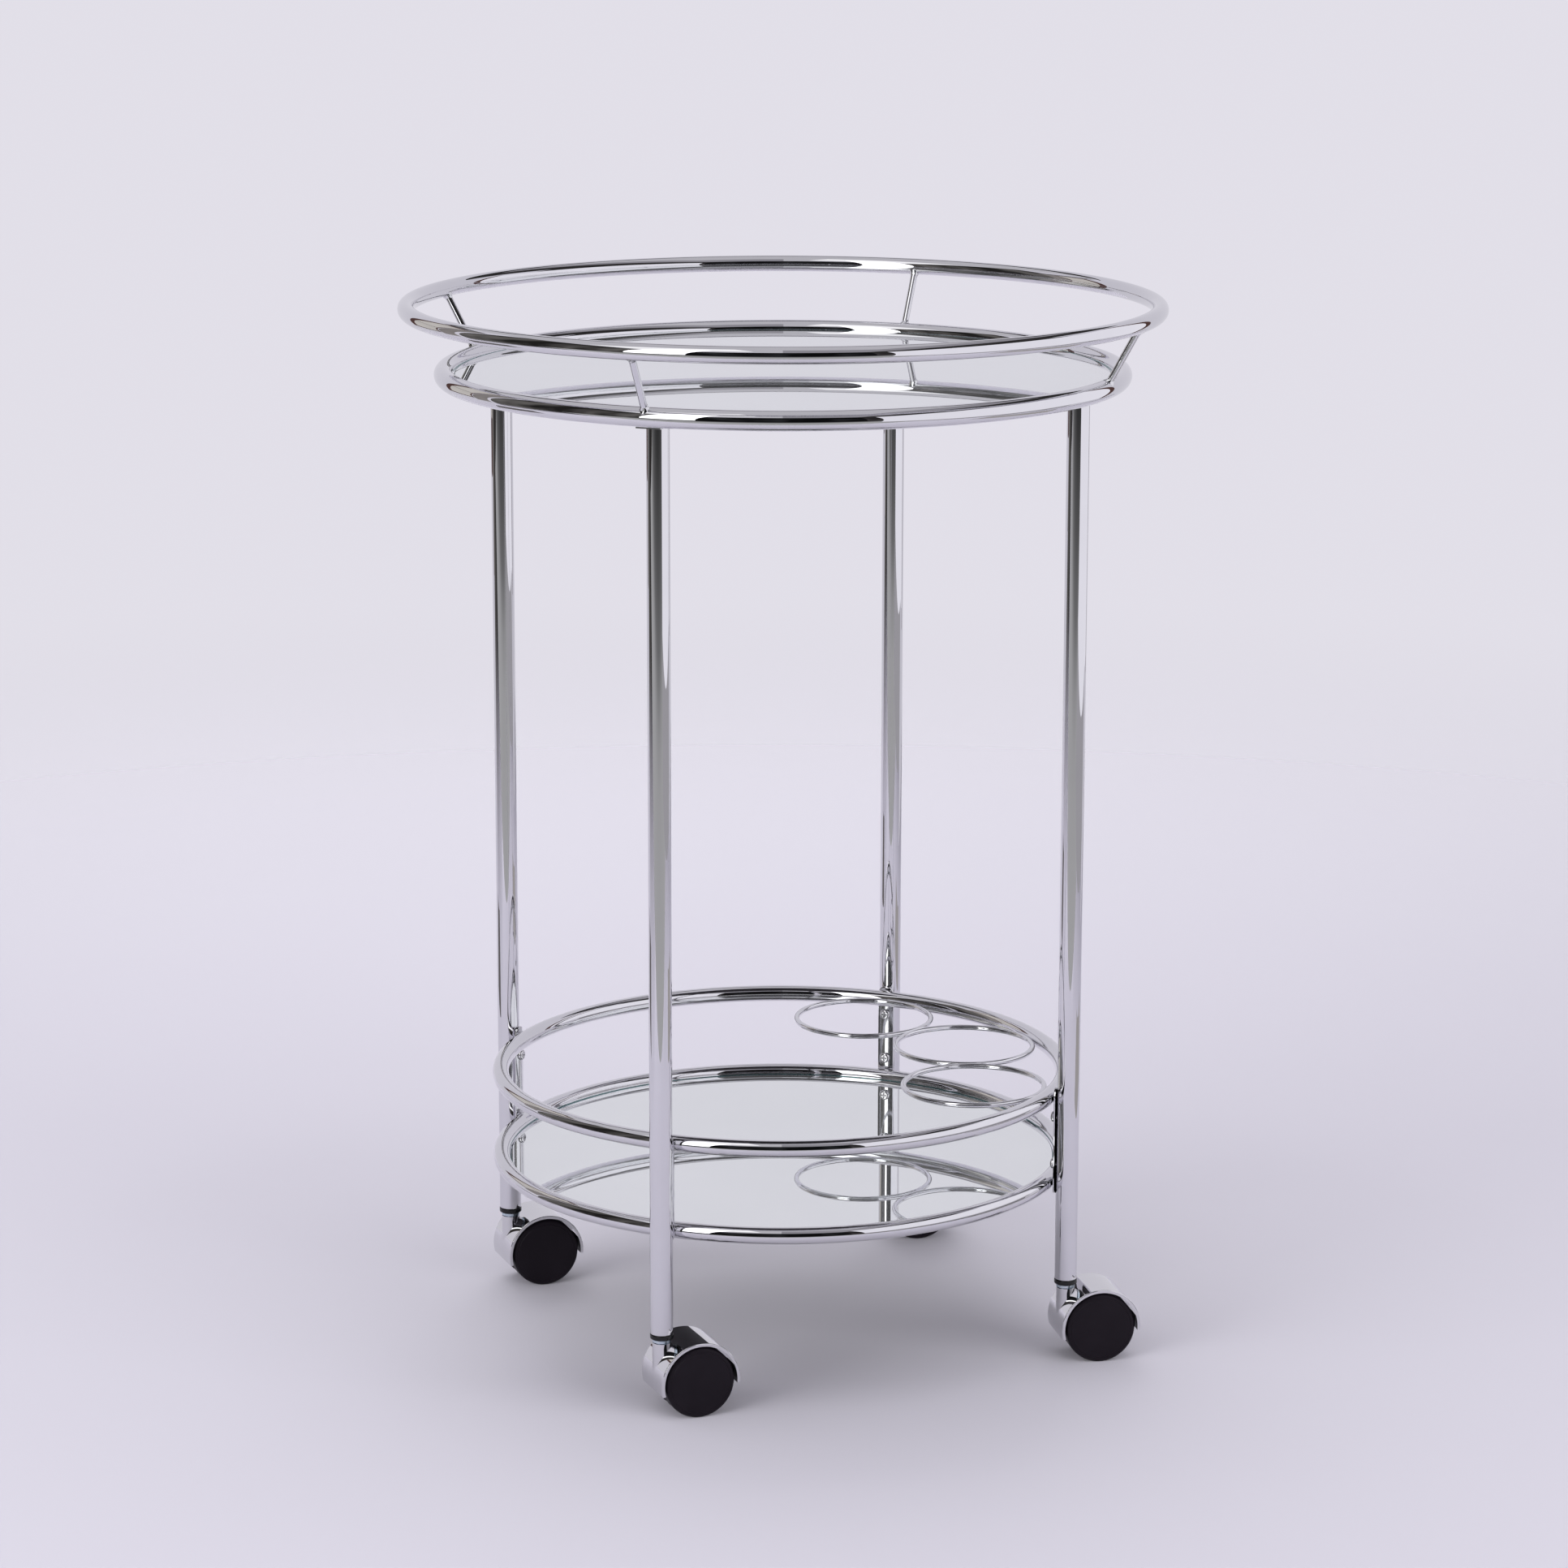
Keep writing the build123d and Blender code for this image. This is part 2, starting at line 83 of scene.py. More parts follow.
class Shader:
    """A small helper round one material's node tree."""

    def __init__(self, name):
        self.material = bpy.data.materials.new(name)
        self.material.use_nodes = True
        self.tree = self.material.node_tree
        self.bsdf = self.tree.nodes["Principled BSDF"]
        self.coord = self.tree.nodes.new("ShaderNodeTexCoord")

    def set(self, **values):
        """Constants on the shader's own sockets: spaces in their names are written as underscores."""
        for key, value in values.items():
            self.bsdf.inputs[key.replace("_", " ")].default_value = value

    def link(self, source, target):
        self.tree.links.new(source, target)

    def stretched(self, scale):
        node = self.tree.nodes.new("ShaderNodeMapping")
        node.inputs["Scale"].default_value = scale
        self.link(self.coord.outputs["Object"], node.inputs["Vector"])
        return node.outputs["Vector"]

    def noise(self, scale, detail, roughness=0.5, stretch=(1, 1, 1)):
        node = self.tree.nodes.new("ShaderNodeTexNoise")
        node.inputs["Scale"].default_value = scale
        node.inputs["Detail"].default_value = detail
        node.inputs["Roughness"].default_value = roughness
        self.link(self.stretched(stretch), node.inputs["Vector"])
        return node.outputs["Fac"]

    def ramp(self, value, stops):
        return colour_ramp(self.tree, value, stops)

    def spread(self, value, low, high, from_low=0.3, from_high=0.7):
        node = self.tree.nodes.new("ShaderNodeMapRange")
        node.inputs["From Min"].default_value = from_low
        node.inputs["From Max"].default_value = from_high
        node.inputs["To Min"].default_value = low
        node.inputs["To Max"].default_value = high
        self.link(value, node.inputs["Value"])
        return node.outputs["Result"]

    def bump(self, height, strength, distance):
        node = self.tree.nodes.new("ShaderNodeBump")
        node.inputs["Strength"].default_value = strength
        node.inputs["Distance"].default_value = distance
        self.link(height, node.inputs["Height"])
        return node.outputs["Normal"]

    def colour(self, socket):
        self.link(socket, self.bsdf.inputs["Base Color"])

    def rough(self, socket):
        self.link(socket, self.bsdf.inputs["Roughness"])

    def normal(self, socket):
        self.link(socket, self.bsdf.inputs["Normal"])


CLOUD_SHADE = 0.965
CLOUD_SCALE = 38.0
WIPE_SCALE = 210.0
WAVE_STRENGTH = 0.35


def chrome(name, tint, rough, wave_height, wave_scale):
    """Bright chrome plate: faint cloudy polish and wipe marks, with a slow wave in the metal under it."""
    s = Shader(name)
    s.set(Metallic=1.0)
    cloud = s.noise(CLOUD_SCALE, 4.0, 0.6)
    s.colour(s.ramp(cloud, [(0.25, tuple(c * CLOUD_SHADE for c in tint)), (0.75, tint)]))
    s.rough(s.spread(s.noise(WIPE_SCALE, 5.0, 0.65), *rough))
    s.normal(s.bump(s.noise(wave_scale, 1.0, 0.4), WAVE_STRENGTH, wave_height))
    return s.material


tube_chrome = chrome("chrome_on_tube", (0.72, 0.715, 0.745), (0.006, 0.022), 0.03 * MM, 16.0)
wire_chrome = chrome("chrome_on_wire", (0.71, 0.71, 0.74), (0.01, 0.035), 0.02 * MM, 40.0)
flat_chrome = chrome("chrome_on_flat_bar", (0.70, 0.70, 0.72), (0.03, 0.07), 0.08 * MM, 55.0)
screw_chrome = chrome("chrome_on_screws", (0.68, 0.675, 0.69), (0.05, 0.12), 0.04 * MM, 140.0)
hood_chrome = chrome("chrome_on_hood", (0.74, 0.735, 0.755), (0.012, 0.035), 0.07 * MM, 45.0)
weld_chrome = chrome("chrome_on_weld", (0.70, 0.70, 0.72), (0.05, 0.12), 0.3 * MM, 420.0)


def zinc():
    """Blue-white zinc plate with a mottled passivation film."""
    s = Shader("zinc_plate")
    s.set(Metallic=1.0)
    film = s.noise(120.0, 5.0, 0.6)
    blue, pale, warm = (0.36, 0.47, 0.56), (0.60, 0.68, 0.74), (0.74, 0.71, 0.75)
    s.colour(s.ramp(film, [(0.3, blue), (0.55, pale), (0.75, warm)]))
    s.rough(s.spread(s.noise(300.0, 4.0), 0.14, 0.30))
    s.normal(s.bump(s.noise(1400.0, 3.0), 0.12, 0.05 * MM))
    return s.material


GLASS_EDGE_GREEN = (0.20, 0.36, 0.34, 1)
EDGE_FACING = 0.80
FACE_FACING = 0.97


def mirror():
    """Silvered float glass: a faintly green face, and a ground edge in the deep green of the glass."""
    s = Shader("silvered_glass")
    geometry = s.tree.nodes.new("ShaderNodeNewGeometry")
    split = s.tree.nodes.new("ShaderNodeSeparateXYZ")
    s.link(geometry.outputs["True Normal"], split.inputs["Vector"])
    face = s.spread(split.outputs["Z"], 0.0, 1.0, EDGE_FACING, FACE_FACING)
    mix = s.tree.nodes.new("ShaderNodeMix")
    mix.data_type = "RGBA"
    s.link(face, mix.inputs["Factor"])
    mix.inputs["A"].default_value = GLASS_EDGE_GREEN
    haze = s.ramp(s.noise(9.0, 4.0, 0.6), [(0.3, (0.855, 0.878, 0.878)), (0.7, (0.88, 0.902, 0.902))])
    s.link(haze, mix.inputs["B"])
    s.colour(mix.outputs["Result"])
    s.set(Metallic=0.91)
    s.rough(s.spread(s.noise(34.0, 5.0, 0.65), 0.004, 0.016))
    return s.material


def board():
    """Dark painted hardboard with a fine pressed grain."""
    s = Shader("painted_board")
    grain = s.noise(420.0, 5.0, 0.7)
    s.colour(s.ramp(grain, [(0.3, (0.014, 0.012, 0.014)), (0.7, (0.026, 0.023, 0.025))]))
    s.rough(s.spread(grain, 0.62, 0.82))
    s.normal(s.bump(grain, 0.25, 0.2 * MM))
    return s.material


def gloss_black():
    """Moulded black plastic with a polished face and faint flow marks."""
    s = Shader("gloss_black_plastic")
    flow = s.noise(60.0, 3.0, 0.5, (1, 1, 0.3))
    s.colour(s.ramp(flow, [(0.3, (0.004, 0.004, 0.0045)), (0.7, (0.007, 0.007, 0.008))]))
    s.rough(s.spread(s.noise(240.0, 4.0), 0.06, 0.14))
    s.set(Specular_IOR_Level=0.3)
    s.normal(s.bump(flow, 0.08, 0.2 * MM))
    return s.material


def satin_nylon():
    """Satin black nylon: fine spark-eroded texture, slightly polished and dusty by turns."""
    s = Shader("satin_black_nylon")
    cloud = s.noise(45.0, 4.0, 0.6)
    s.colour(s.ramp(cloud, [(0.3, (0.0040, 0.0026, 0.0046)), (0.7, (0.0060, 0.0042, 0.0068))]))
    s.rough(s.spread(s.noise(90.0, 5.0, 0.65), 0.34, 0.46))
    s.set(Specular_IOR_Level=0.16)
    s.normal(s.bump(s.noise(2600.0, 2.0), 0.10, 0.04 * MM))
    return s.material


zinc_plate = zinc()
silvered_glass = mirror()
painted_board = board()
black_plastic = gloss_black()
black_nylon = satin_nylon()


# -------------------------------------------------------------- mesh helpers


def piece(name, mesh, finish, replaced=()):
    """A new visible piece of the frame: smooth, in its finish, riding on the frame's body."""
    mesh.materials.append(finish)
    for face in mesh.polygons:
        face.use_smooth = True
    item = bpy.data.objects.new(name, mesh)
    bpy.context.scene.collection.objects.link(item)
    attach(item, CART)
    if replaced:
        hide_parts(*replaced)


def from_bmesh(name, bm):
    bmesh.ops.recalc_face_normals(bm, faces=bm.faces)
    mesh = bpy.data.meshes.new(name)
    bm.to_mesh(mesh)
    bm.free()
    return mesh


def skin(bm, loops, close_ends=False, close_loop=False):
    """Quads between neighbouring loops of vertices."""
    pairs = list(zip(loops, loops[1:]))
    if close_loop:
        pairs.append((loops[-1], loops[0]))
    for first, second in pairs:
        count = len(first)
        for k in range(count):
            n = (k + 1) % count
            bm.faces.new((first[k], first[n], second[n], second[k]))
    if close_ends:
        bm.faces.new(list(reversed(loops[0])))
        bm.faces.new(loops[-1])


def ring_mesh(name, centre, radius, tube, turns, sides):
    """A round ring of tube lying flat."""
    bm = bmesh.new()
    loops = []
    for i in range(turns):
        a = 2 * math.pi * i / turns
        loop = []
        for j in range(sides):
            b = 2 * math.pi * j / sides
            out = radius + tube * math.cos(b)
            spot = (math.cos(a) * out, math.sin(a) * out, tube * math.sin(b))
            loop.append(bm.verts.new(centre + Vector(spot)))
        loops.append(loop)
    skin(bm, loops, close_loop=True)
    return from_bmesh(name, bm)


RIPPLES_PER_METRE = 420.0


def turned_mesh(name, start, along, profile, sides, ripple=0.0, seed=0.0):
    """A closed shape turned about a line: profile is (distance along, radius) pairs."""
    along = along.normalized()
    side = along.orthogonal().normalized()
    other = along.cross(side)
    bm = bmesh.new()
    loops = []
    for distance, radius in profile:
        loop = []
        for j in range(sides):
            b = 2 * math.pi * j / sides
            way = side * math.cos(b) + other * math.sin(b)
            here = start + along * distance + way * radius
            if ripple:
                swell = noise.noise(here * RIPPLES_PER_METRE + Vector((seed, 0, 0)))
                here += way * ripple * swell
            loop.append(bm.verts.new(here))
        loops.append(loop)
    skin(bm, loops, close_ends=True)
    return from_bmesh(name, bm)


ROUND_STEPS = 5
STRAIGHT_LEAD = 0.4 * MM


def rod_profile(length, radius, end_round):
    """A plain rod with a small round at each end. A straight lead keeps the shading of its side even."""
    start = []
    for k in range(ROUND_STEPS + 1):
        t = math.pi / 2 * k / ROUND_STEPS
        start.append((end_round - end_round * math.cos(t), radius - end_round + end_round * math.sin(t)))
    start.append((end_round + STRAIGHT_LEAD, radius))
    end = [(length - d, r) for d, r in reversed(start)]
    return start + end


# ------------------------------------------------------ rings, legs, struts


TUBE_RINGS = ("handrail_ring", "top_tray_ring", "gallery_ring", "lower_tray_ring")
TUBE_RING_TURNS = 320
TUBE_RING_SIDES = 40
WIRE_RING_TURNS = 180
WIRE_RING_SIDES = 24


def ring_size(node):
    """Centre, centre-line radius and tube radius of a flat ring, from its CAD box."""
    low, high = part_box(node)
    tube = (high.z - low.z) / 2
    return (low + high) / 2, (high.x - low.x) / 2 - tube, tube


def bent_ring(node, finish, turns, sides):
    name = node + "_bent"
    piece(name, ring_mesh(name, *ring_size(node), turns, sides), finish, (node,))


for ring_name in TUBE_RINGS:
    bent_ring(ring_name, tube_chrome, TUBE_RING_TURNS, TUBE_RING_SIDES)
for number in BOTTLE_RING_NUMBERS:
    bent_ring(f"bottle_ring_{number}", wire_chrome, WIRE_RING_TURNS, WIRE_RING_SIDES)

LEG_SIDES = 64
LEG_END_ROUND = 0.5 * MM
STRUT_RADIUS = 2.5 * MM
STRUT_SIDES = 32
STRUT_END_ROUND = 0.2 * MM
WELD_SPREAD = 2.0 * MM
WELD_LENGTH = 2.6 * MM
WELD_DEPTH = 1.6 * MM
WELD_STEPS = 8
WELD_SIDES = 40
WELD_RIPPLE = 0.5 * MM
WELD_SEED = 7.3


def leg_tube(number):
    node = f"leg_{number}"
    low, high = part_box(node)
    foot = Vector(((low.x + high.x) / 2, (low.y + high.y) / 2, low.z))
    profile = rod_profile(high.z - low.z, (high.x - low.x) / 2, LEG_END_ROUND)
    name = f"leg_tube_{number}"
    piece(name, turned_mesh(name, foot, UP, profile, LEG_SIDES), tube_chrome, (node,))


def on_ring(node, number):
    """The point of a ring's centre line that is in line with a leg."""
    low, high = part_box(f"leg_{number}")
    leg_middle = (low + high) / 2
    angle = math.atan2(leg_middle.y, leg_middle.x)
    centre, radius, _ = ring_size(node)
    return centre + Vector((math.cos(angle) * radius, math.sin(angle) * radius, 0))


def strut_rod(number, start, run):
    name = f"strut_rod_{number}"
    profile = rod_profile(run.length, STRUT_RADIUS, STRUT_END_ROUND)
    piece(name, turned_mesh(name, start, run, profile, STRUT_SIDES), wire_chrome, (f"rail_strut_{number}",))


def strut_weld(name, base, way, ring, seed):
    """The rough bead where a strut meets a ring: it flares from the strut down into the ring's tube."""
    tube = ring_size(ring)[2]
    bead = []
    for k in range(WELD_STEPS + 1):
        t = k / WELD_STEPS
        flare = WELD_SPREAD * (1 - math.sin(t * math.pi / 2))
        bead.append((tube - WELD_DEPTH + t * (WELD_LENGTH + WELD_DEPTH), STRUT_RADIUS + flare))
    piece(name, turned_mesh(name, base, way, bead, WELD_SIDES, WELD_RIPPLE, seed), weld_chrome)


for number in LEG_NUMBERS:
    leg_tube(number)
    foot = on_ring("top_tray_ring", number)
    head = on_ring("handrail_ring", number)
    run = head - foot
    strut_rod(number, foot, run)
    strut_weld(f"strut_weld_low_{number}", foot, run, "top_tray_ring", number * WELD_SEED)
    strut_weld(f"strut_weld_high_{number}", head, -run, "handrail_ring", number * WELD_SEED)


# ---------------------------------------------------- finishes of CAD nodes


node_finish = {
    "top_mirror": silvered_glass,
    "lower_mirror": silvered_glass,
    "top_mirror_backing": painted_board,
    "lower_mirror_backing": painted_board,
    "lower_tray_tabs": flat_chrome,
    "leg_inserts": flat_chrome,
    "lug_screws": screw_chrome,
    "bracket_screws": screw_chrome,
}
for number in LEG_NUMBERS:
    node_finish[f"leg_lug_{number}"] = flat_chrome
    node_finish[f"tray_bracket_{number}"] = flat_chrome
    node_finish[f"caster_socket_{number}"] = black_plastic
    node_finish[f"caster_stem_{number}"] = zinc_plate
    node_finish[f"caster_axle_{number}"] = zinc_plate
    node_finish[f"caster_hood_{number}"] = hood_chrome
    node_finish[f"caster_wheel_left_{number}"] = black_nylon
    node_finish[f"caster_wheel_right_{number}"] = black_nylon
for node_name, finish in node_finish.items():
    mesh = nodes[node_name].data
    mesh.materials.clear()
    mesh.materials.append(finish)


# ------------------------------------------------------------------- camera


CAMERA_SPOT = (-1.3154, -3.1251, 1.16855)
CAMERA_HEADING = math.radians(67.153)
CAMERA_PITCH = math.radians(12.669)
CAMERA_ROLL = math.radians(0.0885)
CAMERA_LENS_MM = 110.006
CAMERA_SENSOR_MM = 36.0

camera_data = bpy.data.cameras.new("camera")
camera_data.lens = CAMERA_LENS_MM
camera_data.sensor_width = CAMERA_SENSOR_MM
camera = bpy.data.objects.new("camera", camera_data)
bpy.context.scene.collection.objects.link(camera)
ahead = Vector((
    math.cos(CAMERA_HEADING) * math.cos(CAMERA_PITCH),
    math.sin(CAMERA_HEADING) * math.cos(CAMERA_PITCH),
    -math.sin(CAMERA_PITCH),
))
sideways = Vector((math.sin(CAMERA_HEADING), -math.cos(CAMERA_HEADING), 0))
upward = sideways.cross(ahead)
right = sideways * math.cos(CAMERA_ROLL) + upward * math.sin(CAMERA_ROLL)
above = upward * math.cos(CAMERA_ROLL) - sideways * math.sin(CAMERA_ROLL)
turn = Matrix((right, above, -ahead)).transposed()
camera.matrix_world = Matrix.Translation(CAMERA_SPOT) @ turn.to_4x4()
bpy.context.scene.camera = camera


# ---------------------------------------------------------- studio: helpers


# The studio is set out from the cart by metres towards the camera and metres to the camera's right.
STUDIO_SIDE = math.radians(67.06 + 180.0)
TO_CAMERA = Vector((math.cos(STUDIO_SIDE), math.sin(STUDIO_SIDE), 0))
TO_RIGHT = Vector((-TO_CAMERA.y, TO_CAMERA.x, 0))
PATCH_FROM = 0.45
PATCH_TO = 0.72


def studio_spot(toward, rightward, height):
    """A place in the studio: metres towards the camera, to its right, and up."""
    return TO_CAMERA * toward + TO_RIGHT * rightward + UP * height


def round_spot(angle, distance):
    """A (toward, rightward) place at a bearing from the camera's direction, positive to its right."""
    bearing = math.radians(angle)
    return math.cos(bearing) * distance, math.sin(bearing) * distance


def glow(name, colour, strength=1.0, patches=0.0, scale=1.0, stretch=(1, 1, 1)):
    """The paint of a studio card that only shows in reflections, with soft lighter patches when asked."""
    material = bpy.data.materials.new(name)
    material.use_nodes = True
    tree = material.node_tree
    tree.nodes.clear()
    out = tree.nodes.new("ShaderNodeOutputMaterial")
    light = tree.nodes.new("ShaderNodeEmission")
    light.inputs["Color"].default_value = (*colour, 1)
    light.inputs["Strength"].default_value = strength
    tree.links.new(light.outputs["Emission"], out.inputs["Surface"])
    if patches:
        coord = tree.nodes.new("ShaderNodeTexCoord")
        place = tree.nodes.new("ShaderNodeMapping")
        place.inputs["Scale"].default_value = stretch
        tree.links.new(coord.outputs["Object"], place.inputs["Vector"])
        cloud = tree.nodes.new("ShaderNodeTexNoise")
        cloud.inputs["Scale"].default_value = scale
        cloud.inputs["Detail"].default_value = 2.0
        tree.links.new(place.outputs["Vector"], cloud.inputs["Vector"])
        span = tree.nodes.new("ShaderNodeMapRange")
        span.inputs["From Min"].default_value = PATCH_FROM
        span.inputs["From Max"].default_value = PATCH_TO
        span.inputs["To Min"].default_value = strength
        span.inputs["To Max"].default_value = strength + patches
        tree.links.new(cloud.outputs["Fac"], span.inputs["Value"])
        tree.links.new(span.outputs["Result"], light.inputs["Strength"])
    return material


def fading_glow(name, falls, furthest):
    """Card glow whose grey goes by the distance towards the camera, for painted light that falls into
    painted shade: falls holds (distance, grey) pairs.
    """
    material = glow(name, (1.0, 1.0, 1.0))
    tree = material.node_tree
    light = next(n for n in tree.nodes if n.type == "EMISSION")
    coord = tree.nodes.new("ShaderNodeTexCoord")
    reach = tree.nodes.new("ShaderNodeVectorMath")
    reach.operation = "DOT_PRODUCT"
    reach.inputs[1].default_value = TO_CAMERA / furthest
    tree.links.new(coord.outputs["Object"], reach.inputs[0])
    stops = [(distance / furthest, (grey, grey, grey)) for distance, grey in falls]
    tree.links.new(colour_ramp(tree, reach.outputs["Value"], stops), light.inputs["Color"])
    return material


def flat_sheet(name, corners, finish):
    """One flat face through its corners, marked as part of the studio."""
    mesh = bpy.data.meshes.new(name)
    mesh.from_pydata([tuple(c) for c in corners], [], [tuple(range(len(corners)))])
    mesh.materials.append(finish)
    item = bpy.data.objects.new(name, mesh)
    bpy.context.scene.collection.objects.link(item)
    item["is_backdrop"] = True
    return item


def reflected_card(name, corners, finish):
    """A flat studio card that only chrome and gloss see."""
    item = flat_sheet(name, corners, finish)
    item.visible_camera = False
    item.visible_diffuse = False
    item.visible_shadow = False
    item.visible_transmission = False


def upright_card(name, start, end, low, high, finish):
    """A standing card between two (toward, rightward) places."""
    ends = ((start, low), (end, low), (end, high), (start, high))
    reflected_card(name, [studio_spot(*place, height) for place, height in ends], finish)


def level_card(name, near, far, left, right, height, finish):
    """A level card between two distances towards the camera and two to its right."""
    ends = ((near, left), (near, right), (far, right), (far, left))
    reflected_card(name, [studio_spot(*place, height) for place in ends], finish)


# ------------------------------------------------- studio: floor, background


FLOOR_HALF = 16.0
FLOOR_SOLID = 0.7
FLOOR_GONE = 3.0
BACKGROUND = (0.76, 0.74, 0.81, 1)


def pale_floor():
    """Plain pale paint that fades out with distance into the background."""
    s = Shader("pale_floor")
    s.colour(s.ramp(s.noise(0.7, 4.0), [(0.3, (0.500, 0.488, 0.534)), (0.7, (0.510, 0.498, 0.544))]))
    s.set(Roughness=0.7, Specular_IOR_Level=0.0)
    reach = s.tree.nodes.new("ShaderNodeVectorMath")
    reach.operation = "LENGTH"
    s.link(s.coord.outputs["Object"], reach.inputs[0])
    fade = s.tree.nodes.new("ShaderNodeMapRange")
    fade.interpolation_type = "SMOOTHSTEP"
    fade.inputs["From Min"].default_value = FLOOR_SOLID
    fade.inputs["From Max"].default_value = FLOOR_GONE
    fade.inputs["To Min"].default_value = 1.0
    fade.inputs["To Max"].default_value = 0.0
    s.link(reach.outputs["Value"], fade.inputs["Value"])
    s.link(fade.outputs["Result"], s.bsdf.inputs["Alpha"])
    return s.material


floor_corners = [(x * FLOOR_HALF, y * FLOOR_HALF, 0) for x, y in ((-1, -1), (1, -1), (1, 1), (-1, 1))]
flat_sheet("floor", floor_corners, pale_floor())

world = bpy.data.worlds.new("studio")
bpy.context.scene.world = world
world.use_nodes = True
background = world.node_tree.nodes["Background"]
background.inputs["Color"].default_value = BACKGROUND
background.inputs["Strength"].default_value = 1.0


# ----------------------------------------------- studio: what chrome reflects


# The dark room round the set.
ROOM_HIGH = 4.9
ROOM_FRONT = 5.2
ROOM_RIGHT = 2.6
ROOM_LEFT = -4.0
ROOM_BACK = -5.5
LEFT_WALL_END = -1.2
BACK_WALL_FOOT = 1.0
BELOW_FLOOR = -1.0
CEILING_GAP = 0.02
BEAM_NEAR = 1.4
BEAM_RIGHT = 1.5

dark_front = glow("dark_front", (0.9, 0.92, 1.0), 0.006, 0.03, 0.9, (1.0, 1.0, 0.35))
dark_left = glow("dark_left", (1.0, 0.95, 0.9), 0.02, 0.16, 0.8, (1.0, 1.0, 0.25))
dark_right = glow("dark_right", (1.0, 0.93, 0.95), 0.03, 0.05, 0.8)
dim_back = glow("dim_back", (0.95, 0.95, 1.0), 0.12, 0.10, 0.8)
ceiling = glow("ceiling", (0.60, 0.59, 0.625))
dim_ceiling = glow("dim_ceiling", (0.34, 0.33, 0.36))

front_left = (ROOM_FRONT, ROOM_LEFT)
front_right = (ROOM_FRONT, ROOM_RIGHT)
back_left = (ROOM_BACK, ROOM_LEFT)
back_right = (ROOM_BACK, ROOM_RIGHT)
upright_card("room_front", front_left, front_right, BELOW_FLOOR, ROOM_HIGH, dark_front)
upright_card("room_left", front_left, (LEFT_WALL_END, ROOM_LEFT), BELOW_FLOOR, ROOM_HIGH, dark_left)
upright_card("room_right", front_right, back_right, BELOW_FLOOR, ROOM_HIGH, dark_right)
upright_card("room_back", back_left, back_right, BACK_WALL_FOOT, ROOM_HIGH, dim_back)
level_card("room_ceiling", ROOM_BACK, ROOM_FRONT, ROOM_LEFT, ROOM_RIGHT, ROOM_HIGH + CEILING_GAP, ceiling)
level_card("ceiling_edge_right", ROOM_BACK, ROOM_FRONT, BEAM_RIGHT, ROOM_RIGHT, ROOM_HIGH, dim_ceiling)
level_card("ceiling_beam", BEAM_NEAR, ROOM_FRONT, 0.0, BEAM_RIGHT, ROOM_HIGH, dim_ceiling)

# A white board at the right, with a grey band of painted shade along its foot and a short return.
BOARD_START = (1.28, 0.73)
BOARD_CORNER = (-0.30, 1.20)
BOARD_END = (-0.69, 1.04)
BOARD_SHADE_BOTTOM = 0.14
BOARD_LOW = 0.30
BOARD_HIGH = 1.5

white_board = glow("white_board", (0.80, 0.79, 0.84), 1.25)
# Painted shade: a grey band low on the board, where it nears the floor.
board_painted_shade = glow("board_painted_shade", (0.42, 0.41, 0.43))
upright_card("board_right", BOARD_START, BOARD_CORNER, BOARD_LOW, BOARD_HIGH, white_board)
upright_card("board_right_painted_shade", BOARD_START, BOARD_CORNER, BOARD_SHADE_BOTTOM, BOARD_LOW, board_painted_shade)
upright_card("board_right_return", BOARD_CORNER, BOARD_END, BOARD_LOW, BOARD_HIGH, white_board)

# The pale paper sweep behind the cart, and the dark headers over it.
SWEEP_RIGHT_BACK = (-1.8, 1.3)
SWEEP_LEFT_BACK = (-1.8, -1.5)
SWEEP_LEFT_FRONT = (-0.75, -2.2)
SWEEP_HIGH = 2.0
SWEEP_LEFT_HIGH = 2.1
HEADER_RIGHT_BACK = (-1.78, 1.28)

paper = glow("paper", (0.74, 0.725, 0.79), 0.95)
header = glow("header", (1.0, 0.96, 0.98), 0.03)
for card in (
    ("sweep_back_right", (-0.30, 1.4), SWEEP_RIGHT_BACK, 0.0, SWEEP_HIGH, paper),
    ("sweep_back", SWEEP_RIGHT_BACK, SWEEP_LEFT_BACK, 0.0, SWEEP_HIGH, paper),
    ("sweep_back_left", SWEEP_LEFT_BACK, SWEEP_LEFT_FRONT, 0.0, SWEEP_LEFT_HIGH, paper),
    ("header_back_right", (-0.30, 1.38), HEADER_RIGHT_BACK, SWEEP_HIGH, 2.7, header),
    ("header_back", HEADER_RIGHT_BACK, (-1.78, -1.0), SWEEP_HIGH, 2.5, header),
    ("header_back_left", (-1.78, -1.5), SWEEP_LEFT_FRONT, SWEEP_LEFT_HIGH, 2.3, dim_back),
):
    upright_card(*card)

# A door, its frame and a strip of wall at the left, and a seam in the sweep at the right.
DOOR_BEARINGS = (-130.0, -114.0)
DOOR_FRAME_BEARINGS = (-134.5, -113.0)
WALL_BEARINGS = (-113.0, -104.0)

seam_brown = glow("seam_brown", (0.10, 0.055, 0.05))
beige = glow("beige_door", (0.62, 0.59, 0.55), 1.0, 0.12, 2.0)
gap_dark = glow("gap_dark", (0.05, 0.035, 0.035))
wall_grey = glow("wall_grey", (0.26, 0.24, 0.23), 1.0, 0.2, 3.0, (1.0, 1.0, 0.3))
for name, bearings, distance, low, high, finish in (
    ("door_left_frame", DOOR_FRAME_BEARINGS, 1.5, 0.42, 1.62, seam_brown),
    ("door_left", DOOR_BEARINGS, 1.48, 0.48, 1.54, beige),
    ("door_left_rail", DOOR_BEARINGS, 1.47, 0.92, 0.94, gap_dark),
    ("wall_left", WALL_BEARINGS, 1.6, 0.3, 1.7, wall_grey),
):
    upright_card(name, *[round_spot(bearing, distance) for bearing in bearings], low, high, finish)
upright_card("seam_right", round_spot(123.5, 1.245), round_spot(127.5, 1.24), 0.28, 1.55, seam_brown)
